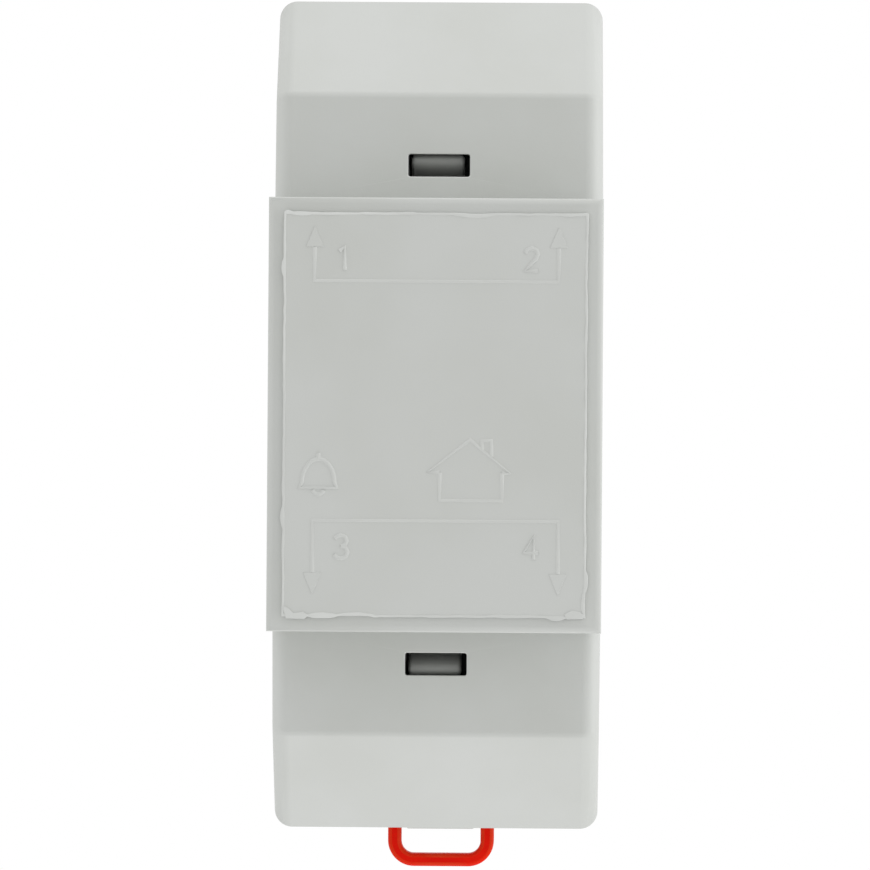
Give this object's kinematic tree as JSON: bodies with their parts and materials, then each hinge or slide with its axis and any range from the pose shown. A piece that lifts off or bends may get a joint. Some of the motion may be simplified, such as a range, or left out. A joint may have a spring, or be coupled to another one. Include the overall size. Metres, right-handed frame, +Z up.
{
  "type": "doorbell transformer",
  "caption": "Rail-mounted bell transformer: light grey stepped case with a raised front panel, pull-off terminal covers and a red sprung rail clip.",
  "frame": {"origin": "centre of the rail seat, on the plane of the rail's front face", "axes": "+Z up as mounted, the front faces -Y and the wall is towards +Y, +X to the right seen from the front"},
  "size_m": [0.035, 0.0663, 0.0947],
  "materials": {
    "case_plastic": "fine moulded grain",
    "clip_plastic": "satin red",
    "block_plastic": "matt",
    "former_plastic": "satin",
    "lamination_steel": "rolled, with a dark oxide",
    "winding_copper": "enamelled copper wire",
    "winding_tape": "polyester film",
    "fuse_body": "glazed",
    "contact_brass": "rolled",
    "clamp_steel": "zinc plated",
    "screw_steel": "zinc plated",
    "spring_steel": "drawn wire",
    "lead_sleeve": "satin"
  },
  "bodies": {
    "case": {"rear_base": "case_plastic", "front_hood": "case_plastic", "e_lamination_stack": "lamination_steel", "i_lamination_stack": "lamination_steel", "coil_former": "former_plastic", "secondary_winding": "winding_copper", "primary_winding": "winding_copper", "secondary_tape": "winding_tape", "primary_tape": "winding_tape", "thermal_fuse": "fuse_body", "top_terminal_block": "block_plastic", "bottom_terminal_block": "block_plastic", "top_left_contact": "contact_brass", "top_left_lead": "lead_sleeve", "top_right_contact": "contact_brass", "top_right_lead": "lead_sleeve", "bottom_left_contact": "contact_brass", "bottom_left_lead": "lead_sleeve", "bottom_right_contact": "contact_brass", "bottom_right_lead": "lead_sleeve"},
    "rail_clip": {"rail_clip": "clip_plastic", "clip_spring": "spring_steel"},
    "top_cover": {"top_terminal_cover": "case_plastic"},
    "bottom_cover": {"bottom_terminal_cover": "case_plastic"},
    "top_left_screw": {"top_left_screw": "screw_steel"},
    "top_left_clamp": {"top_left_clamp": "clamp_steel"},
    "top_right_screw": {"top_right_screw": "screw_steel"},
    "top_right_clamp": {"top_right_clamp": "clamp_steel"},
    "bottom_left_screw": {"bottom_left_screw": "screw_steel"},
    "bottom_left_clamp": {"bottom_left_clamp": "clamp_steel"},
    "bottom_right_screw": {"bottom_right_screw": "screw_steel"},
    "bottom_right_clamp": {"bottom_right_clamp": "clamp_steel"}
  },
  "joints": [
    {"name": "rail_clip_slide", "type": "slide", "parent": "case", "child": "rail_clip", "axis": [0, 0, -1], "range_m": [0, 0.003], "stiffness_N_per_m": 500, "springref_m": -0.004, "deforming": ["clip_spring"]},
    {"name": "top_cover_pull", "type": "slide", "parent": "case", "child": "top_cover", "axis": [0, -1, 0], "range_m": [0, 0.04]},
    {"name": "bottom_cover_pull", "type": "slide", "parent": "case", "child": "bottom_cover", "axis": [0, -1, 0], "range_m": [0, 0.04]},
    {"name": "top_left_screw_turn", "type": "hinge", "parent": "case", "child": "top_left_screw", "pos_m": [-0.0085, -0.035, 0.0315], "axis": [0, 1, 0], "range_deg": [0, 1800]},
    {"name": "top_left_clamp_lift", "type": "slide", "parent": "case", "child": "top_left_clamp", "axis": [0, -1, 0], "range_m": [0, 0.0025]},
    {"name": "top_right_screw_turn", "type": "hinge", "parent": "case", "child": "top_right_screw", "pos_m": [0.0085, -0.035, 0.0315], "axis": [0, 1, 0], "range_deg": [0, 1800]},
    {"name": "top_right_clamp_lift", "type": "slide", "parent": "case", "child": "top_right_clamp", "axis": [0, -1, 0], "range_m": [0, 0.0025]},
    {"name": "bottom_left_screw_turn", "type": "hinge", "parent": "case", "child": "bottom_left_screw", "pos_m": [-0.0085, -0.035, -0.0315], "axis": [0, 1, 0], "range_deg": [0, 1800]},
    {"name": "bottom_left_clamp_lift", "type": "slide", "parent": "case", "child": "bottom_left_clamp", "axis": [0, -1, 0], "range_m": [0, 0.0025]},
    {"name": "bottom_right_screw_turn", "type": "hinge", "parent": "case", "child": "bottom_right_screw", "pos_m": [0.0085, -0.035, -0.0315], "axis": [0, 1, 0], "range_deg": [0, 1800]},
    {"name": "bottom_right_clamp_lift", "type": "slide", "parent": "case", "child": "bottom_right_clamp", "axis": [0, -1, 0], "range_m": [0, 0.0025]}
  ],
  "couplings": [
    {"joint": "top_left_screw_turn", "follows": "top_left_clamp_lift", "rad_per_m": 12566},
    {"joint": "top_right_screw_turn", "follows": "top_right_clamp_lift", "rad_per_m": 12566},
    {"joint": "bottom_left_screw_turn", "follows": "bottom_left_clamp_lift", "rad_per_m": 12566},
    {"joint": "bottom_right_screw_turn", "follows": "bottom_right_clamp_lift", "rad_per_m": 12566}
  ]
}
